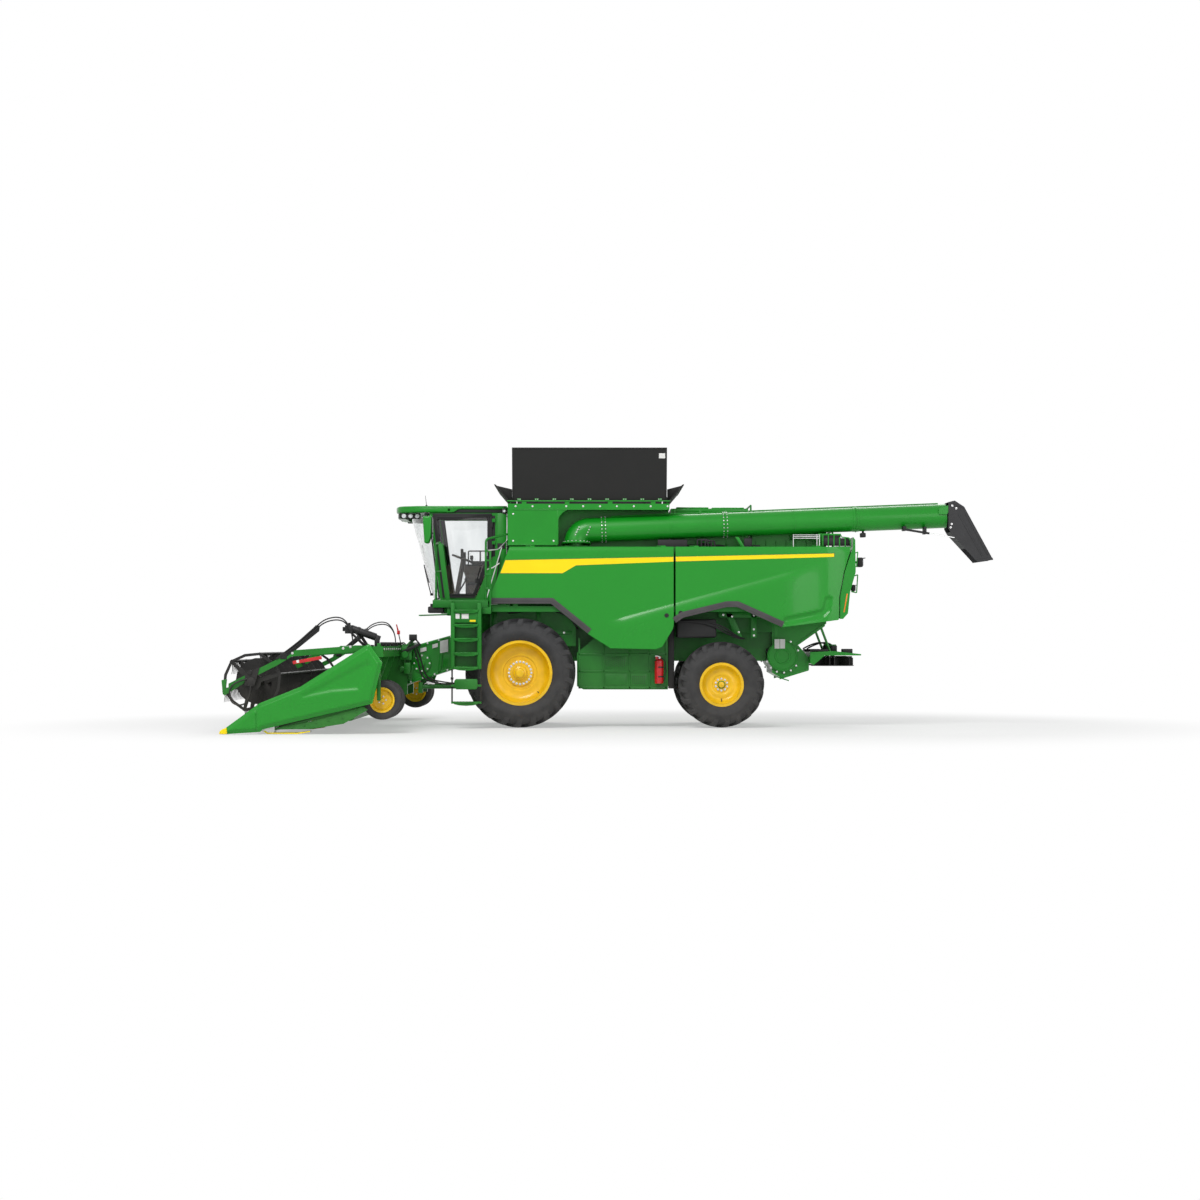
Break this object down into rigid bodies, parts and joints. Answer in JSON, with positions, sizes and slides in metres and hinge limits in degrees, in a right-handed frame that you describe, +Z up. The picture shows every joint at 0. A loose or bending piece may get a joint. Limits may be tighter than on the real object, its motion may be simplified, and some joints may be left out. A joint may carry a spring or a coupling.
{
  "type": "combine harvester",
  "caption": "Self-propelled grain harvester with cab, tank, side unloading tube, straw spreader and a wide belt header with a reel.",
  "frame": {"origin": "on the ground, at the middle of the overall length and width", "axes": "+X towards the machine's rear, +Y towards its right-hand side, +Z up"},
  "size_m": [13.2749, 9.14, 4.9705],
  "materials": {
    "panel_green": "glossy moulded body panels, light orange peel",
    "body_green": "gloss enamel on sheet steel",
    "frame_green": "satin enamel on fabricated steel",
    "cab_green": "gloss enamel",
    "rim_yellow": "gloss enamel on pressed steel",
    "tyre_rubber": "dull rubber with chevron lugs",
    "black_steel": "satin black paint",
    "black_plastic": "textured black moulding",
    "cover_black": "dull black sheet",
    "belt_rubber": "ribbed canvas and rubber belting",
    "hood_rubber": "dull moulded rubber",
    "seat_fabric": "woven grey cloth",
    "clear_glass": "clear lightly tinted safety glass",
    "steel": "worn bright steel",
    "rod_chrome": "hard chrome rod",
    "extinguisher_red": "gloss red enamel",
    "engine_grey": "dark painted castings",
    "separator_green": "gloss enamel on ribbed sheet steel"
  },
  "bodies": {
    "chassis": {"chassis_frame": "frame_green", "front_axle": "frame_green", "separator_housing": "separator_green", "grain_tank": "body_green", "auger_turret": "frame_green", "engine": "engine_grey", "engine_deck": "body_green", "rear_hood": "panel_green", "chopper_housing": "body_green", "spreader_deck": "black_plastic", "rear_axle": "frame_green", "cab_frame": "cab_green", "cab_roof": "cab_green", "cab_windows": "clear_glass", "driver_seat": "seat_fabric", "cab_controls": "black_plastic", "mirrors": "cab_green", "platform": "frame_green", "fire_extinguisher": "extinguisher_red"},
    "front_left_wheel": {"front_left_tyre": "tyre_rubber", "front_left_rim": "rim_yellow"},
    "front_right_wheel": {"front_right_tyre": "tyre_rubber", "front_right_rim": "rim_yellow"},
    "left_knuckle": {"left_knuckle": "frame_green"},
    "right_knuckle": {"right_knuckle": "frame_green"},
    "rear_left_wheel": {"rear_left_tyre": "tyre_rubber", "rear_left_rim": "rim_yellow"},
    "rear_right_wheel": {"rear_right_tyre": "tyre_rubber", "rear_right_rim": "rim_yellow"},
    "left_front_panel": {"left_front_side_panel": "panel_green"},
    "left_rear_panel": {"left_rear_side_panel": "panel_green"},
    "right_front_panel": {"right_front_side_panel": "panel_green"},
    "right_rear_panel": {"right_rear_side_panel": "panel_green"},
    "left_cover": {"left_tank_cover": "cover_black"},
    "right_cover": {"right_tank_cover": "cover_black"},
    "front_cover": {"front_tank_cover": "cover_black"},
    "rear_cover": {"rear_tank_cover": "cover_black"},
    "auger": {"unloading_auger": "body_green"},
    "spout": {"auger_spout": "hood_rubber"},
    "left_rotor": {"left_spreader_rotor": "black_steel"},
    "right_rotor": {"right_spreader_rotor": "black_steel"},
    "door": {"cab_door": "black_steel", "door_glass": "clear_glass"},
    "ladder": {"ladder": "frame_green"},
    "feeder": {"feeder_house": "body_green", "header_frame": "frame_green", "cutterbar": "steel", "draper_belts": "belt_rubber", "header_dividers": "panel_green"},
    "lift_barrels": {"lift_cylinder_barrels": "black_steel"},
    "lift_rods": {"lift_cylinder_rods": "rod_chrome"},
    "reel_arms": {"reel_arms": "frame_green"},
    "reel_carriers": {"reel_carriers": "black_steel"},
    "reel": {"reel": "black_plastic"},
    "left_gauge": {"left_gauge_wheels": "tyre_rubber"},
    "right_gauge": {"right_gauge_wheels": "tyre_rubber"}
  },
  "joints": [
    {"name": "front_left_wheel_spin", "type": "hinge", "parent": "chassis", "child": "front_left_wheel", "pos_m": [-1.777, -1.345, 0.973], "axis": [0, 1, 0], "continuous": true},
    {"name": "front_right_wheel_spin", "type": "hinge", "parent": "chassis", "child": "front_right_wheel", "pos_m": [-1.777, 1.345, 0.973], "axis": [0, 1, 0], "continuous": true},
    {"name": "left_steer", "type": "hinge", "parent": "chassis", "child": "left_knuckle", "pos_m": [1.803, -1.2, 0.765], "axis": [0, 0, 1], "range_deg": [-30, 30]},
    {"name": "right_steer", "type": "hinge", "parent": "chassis", "child": "right_knuckle", "pos_m": [1.803, 1.2, 0.765], "axis": [0, 0, 1], "range_deg": [-30, 30]},
    {"name": "rear_left_wheel_spin", "type": "hinge", "parent": "left_knuckle", "child": "rear_left_wheel", "pos_m": [1.803, -1.34, 0.765], "axis": [0, 1, 0], "continuous": true},
    {"name": "rear_right_wheel_spin", "type": "hinge", "parent": "right_knuckle", "child": "rear_right_wheel", "pos_m": [1.803, 1.34, 0.765], "axis": [0, 1, 0], "continuous": true},
    {"name": "left_front_panel_lift", "type": "hinge", "parent": "chassis", "child": "left_front_panel", "pos_m": [0, -1.5, 3.225], "axis": [-1, 0, 0], "range_deg": [0, 75]},
    {"name": "left_rear_panel_lift", "type": "hinge", "parent": "chassis", "child": "left_rear_panel", "pos_m": [0, -1.5, 3.225], "axis": [-1, 0, 0], "range_deg": [0, 75]},
    {"name": "right_front_panel_lift", "type": "hinge", "parent": "chassis", "child": "right_front_panel", "pos_m": [0, 1.5, 3.225], "axis": [1, 0, 0], "range_deg": [0, 75]},
    {"name": "right_rear_panel_lift", "type": "hinge", "parent": "chassis", "child": "right_rear_panel", "pos_m": [0, 1.5, 3.225], "axis": [1, 0, 0], "range_deg": [0, 75]},
    {"name": "left_cover_fold", "type": "hinge", "parent": "chassis", "child": "left_cover", "pos_m": [0, -1.44, 4.03], "axis": [-1, 0, 0], "range_deg": [0, 102]},
    {"name": "right_cover_fold", "type": "hinge", "parent": "chassis", "child": "right_cover", "pos_m": [0, 1.44, 4.03], "axis": [1, 0, 0], "range_deg": [0, 102]},
    {"name": "front_cover_fold", "type": "hinge", "parent": "chassis", "child": "front_cover", "pos_m": [-1.955, 0, 3.996], "axis": [0, 1, 0], "range_deg": [0, 130]},
    {"name": "rear_cover_fold", "type": "hinge", "parent": "chassis", "child": "rear_cover", "pos_m": [0.855, 0, 3.996], "axis": [0, -1, 0], "range_deg": [0, 130]},
    {"name": "auger_swing", "type": "hinge", "parent": "chassis", "child": "auger", "pos_m": [-0.78, -1.3, 3.262], "axis": [0, -0.1045, -0.9945], "range_deg": [0, 105]},
    {"name": "spout_tilt", "type": "hinge", "parent": "auger", "child": "spout", "pos_m": [5.90986, -1.24585, 3.9472], "axis": [0, -1, 0], "range_deg": [0, 30]},
    {"name": "left_rotor_spin", "type": "hinge", "parent": "chassis", "child": "left_rotor", "pos_m": [3.877, -0.48, 1.2], "axis": [0, 0, 1], "continuous": true},
    {"name": "right_rotor_spin", "type": "hinge", "parent": "chassis", "child": "right_rotor", "pos_m": [3.877, 0.48, 1.2], "axis": [0, 0, 1], "continuous": true},
    {"name": "door_swing", "type": "hinge", "parent": "chassis", "child": "door", "pos_m": [-2.285, -0.985, 3], "axis": [0, 0, 1], "range_deg": [0, 75]},
    {"name": "ladder_swing", "type": "hinge", "parent": "chassis", "child": "ladder", "pos_m": [-2.95, -1.765, 1.3], "axis": [0, 0, -1], "range_deg": [0, 90]},
    {"name": "feeder_lift", "type": "hinge", "parent": "chassis", "child": "feeder", "pos_m": [-1.99, 0, 1.7], "axis": [0, 1, 0], "range_deg": [0, 18]},
    {"name": "lift_barrel_pitch", "type": "hinge", "parent": "chassis", "child": "lift_barrels", "pos_m": [-2, 0, 0.7], "axis": [0, 1, 0], "range_deg": [0, 18]},
    {"name": "lift_rod_extend", "type": "slide", "parent": "lift_barrels", "child": "lift_rods", "axis": [-0.9996, 0, 0.0267], "range_m": [0, 0.34]},
    {"name": "reel_lift", "type": "hinge", "parent": "feeder", "child": "reel_arms", "pos_m": [-4.39, 0, 1.42], "axis": [0, 1, 0], "range_deg": [0, 20]},
    {"name": "reel_fore_aft", "type": "slide", "parent": "reel_arms", "child": "reel_carriers", "axis": [0.8944, 0, 0.4472], "range_m": [0, 0.3]},
    {"name": "reel_spin", "type": "hinge", "parent": "reel_carriers", "child": "reel", "pos_m": [-6.14, 0, 0.86], "axis": [0, 1, 0], "continuous": true},
    {"name": "left_gauge_spin", "type": "hinge", "parent": "feeder", "child": "left_gauge", "pos_m": [-3.99, -3.78, 0.555], "axis": [0, 1, 0], "continuous": true},
    {"name": "right_gauge_spin", "type": "hinge", "parent": "feeder", "child": "right_gauge", "pos_m": [-3.99, 3.78, 0.555], "axis": [0, 1, 0], "continuous": true}
  ],
  "couplings": [
    {"joint": "right_steer", "follows": "left_steer", "ratio": 1},
    {"joint": "lift_barrel_pitch", "follows": "feeder_lift", "ratio": 0.9048},
    {"joint": "lift_rod_extend", "follows": "feeder_lift", "m_per_rad": 0.9835}
  ]
}
